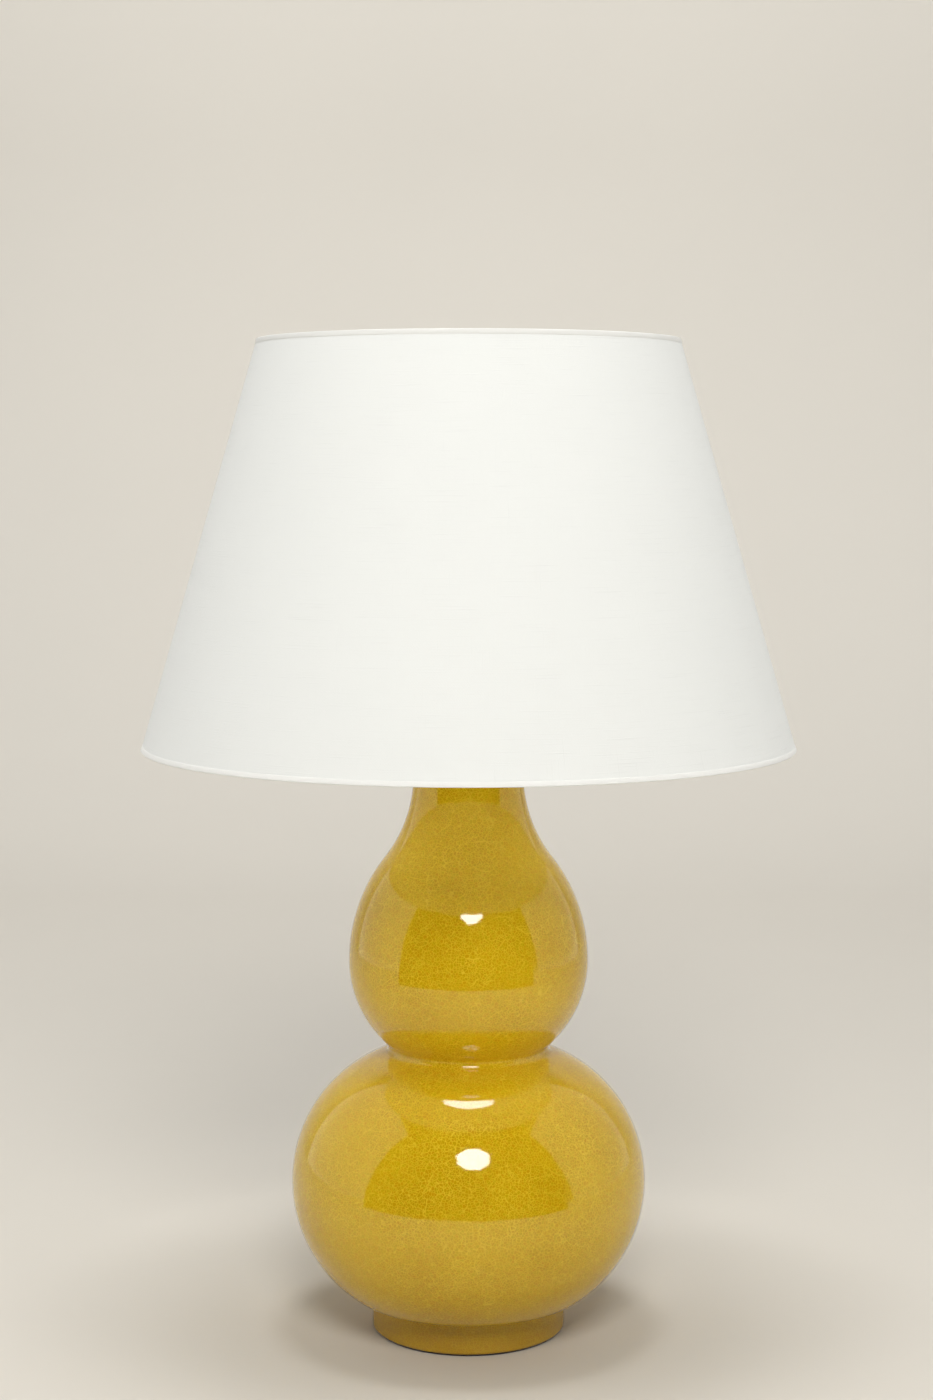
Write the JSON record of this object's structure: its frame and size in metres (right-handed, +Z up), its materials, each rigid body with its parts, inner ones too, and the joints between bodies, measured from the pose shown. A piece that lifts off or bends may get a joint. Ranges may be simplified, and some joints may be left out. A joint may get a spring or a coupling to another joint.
{
  "type": "table lamp",
  "caption": "Double gourd table lamp: glazed ceramic base of two stacked bulbs, push-bar lampholder, and a tapered linen shade on a tilting duplex ring.",
  "frame": {"origin": "centre of the felt disc's underside, on the surface that the lamp stands on", "axes": "+Z up along the lamp's axis, -Y the front, +Y the cord inlet's side, +X the right"},
  "size_m": [0.451, 0.451, 0.6905],
  "materials": {
    "mustard_glaze": "high gloss mustard yellow glaze with a fine crackle",
    "dark_felt": "dark brown felt",
    "black_rubber": "matt black rubber",
    "zinc_steel": "zinc plated steel",
    "brass": "satin brass",
    "porcelain": "unglazed white porcelain",
    "contact_bronze": "phosphor bronze",
    "bakelite": "dark brown moulded resin",
    "solder": "tin solder",
    "black_glass": "black insulating glass",
    "cap_aluminium": "bright aluminium",
    "opal_glass": "opal white glass",
    "clear_glass": "clear glass",
    "lead_wire": "drawn nickel and tungsten wire",
    "carrier_brass": "brass plated wire",
    "white_metal": "white stoved enamel",
    "nylon": "natural nylon",
    "white_liner": "white laminating film",
    "white_linen": "white plain-weave linen",
    "cream_tape": "cream cotton tape"
  },
  "bodies": {
    "lamp": {"gourd_body": "mustard_glaze", "base_felt": "dark_felt", "cord_inlet_bush": "black_rubber", "tie_rod": "zinc_steel", "floor_gasket": "black_rubber", "floor_washer": "zinc_steel", "floor_nut": "zinc_steel", "neck_gasket": "black_rubber", "neck_cap": "brass", "riser": "brass", "lock_nut": "brass", "holder_cap": "brass", "terminal_block": "porcelain", "terminal_screws": "brass", "centre_contact": "contact_bronze", "screw_shell": "contact_bronze", "insulating_sleeve": "bakelite", "holder_body": "brass", "shade_ring": "brass"},
    "switch": {"switch_bar": "bakelite"},
    "bulb": {"bulb_contact": "solder", "bulb_insulator": "black_glass", "bulb_screw_cap": "cap_aluminium", "bulb_glass": "opal_glass", "bulb_stem": "clear_glass", "lead_wires": "lead_wire", "filament": "lead_wire"},
    "carrier": {"carrier_base_ring": "carrier_brass", "carrier_legs": "carrier_brass", "carrier_top_ring": "carrier_brass"},
    "duplex": {"duplex_ring": "white_metal", "pivot_screws": "zinc_steel", "pivot_spacers": "nylon"},
    "shade": {"gimbal_hoop": "white_metal", "shade_arms": "white_metal", "shade_top_ring": "white_metal", "shade_bottom_ring": "white_metal", "shade_liner": "white_liner", "shade_linen": "white_linen", "top_edging": "cream_tape", "bottom_edging": "cream_tape"}
  },
  "joints": [
    {"name": "switch_push", "type": "slide", "parent": "lamp", "child": "switch", "axis": [1, 0, 0], "range_m": [0, 0.005]},
    {"name": "bulb_turn", "type": "hinge", "parent": "lamp", "child": "bulb", "pos_m": [0, 0, 0.505], "axis": [0, 0, 1], "range_deg": [0, 1800]},
    {"name": "carrier_turn", "type": "hinge", "parent": "lamp", "child": "carrier", "pos_m": [0, 0, 0.489], "axis": [0, 0, 1], "continuous": true},
    {"name": "shade_lift", "type": "slide", "parent": "carrier", "child": "duplex", "axis": [0, 0, 1], "range_m": [0, 0.24]},
    {"name": "shade_tilt", "type": "hinge", "parent": "duplex", "child": "shade", "pos_m": [0, 0, 0.636], "axis": [1, 0, 0], "range_deg": [-10, 10]}
  ]
}
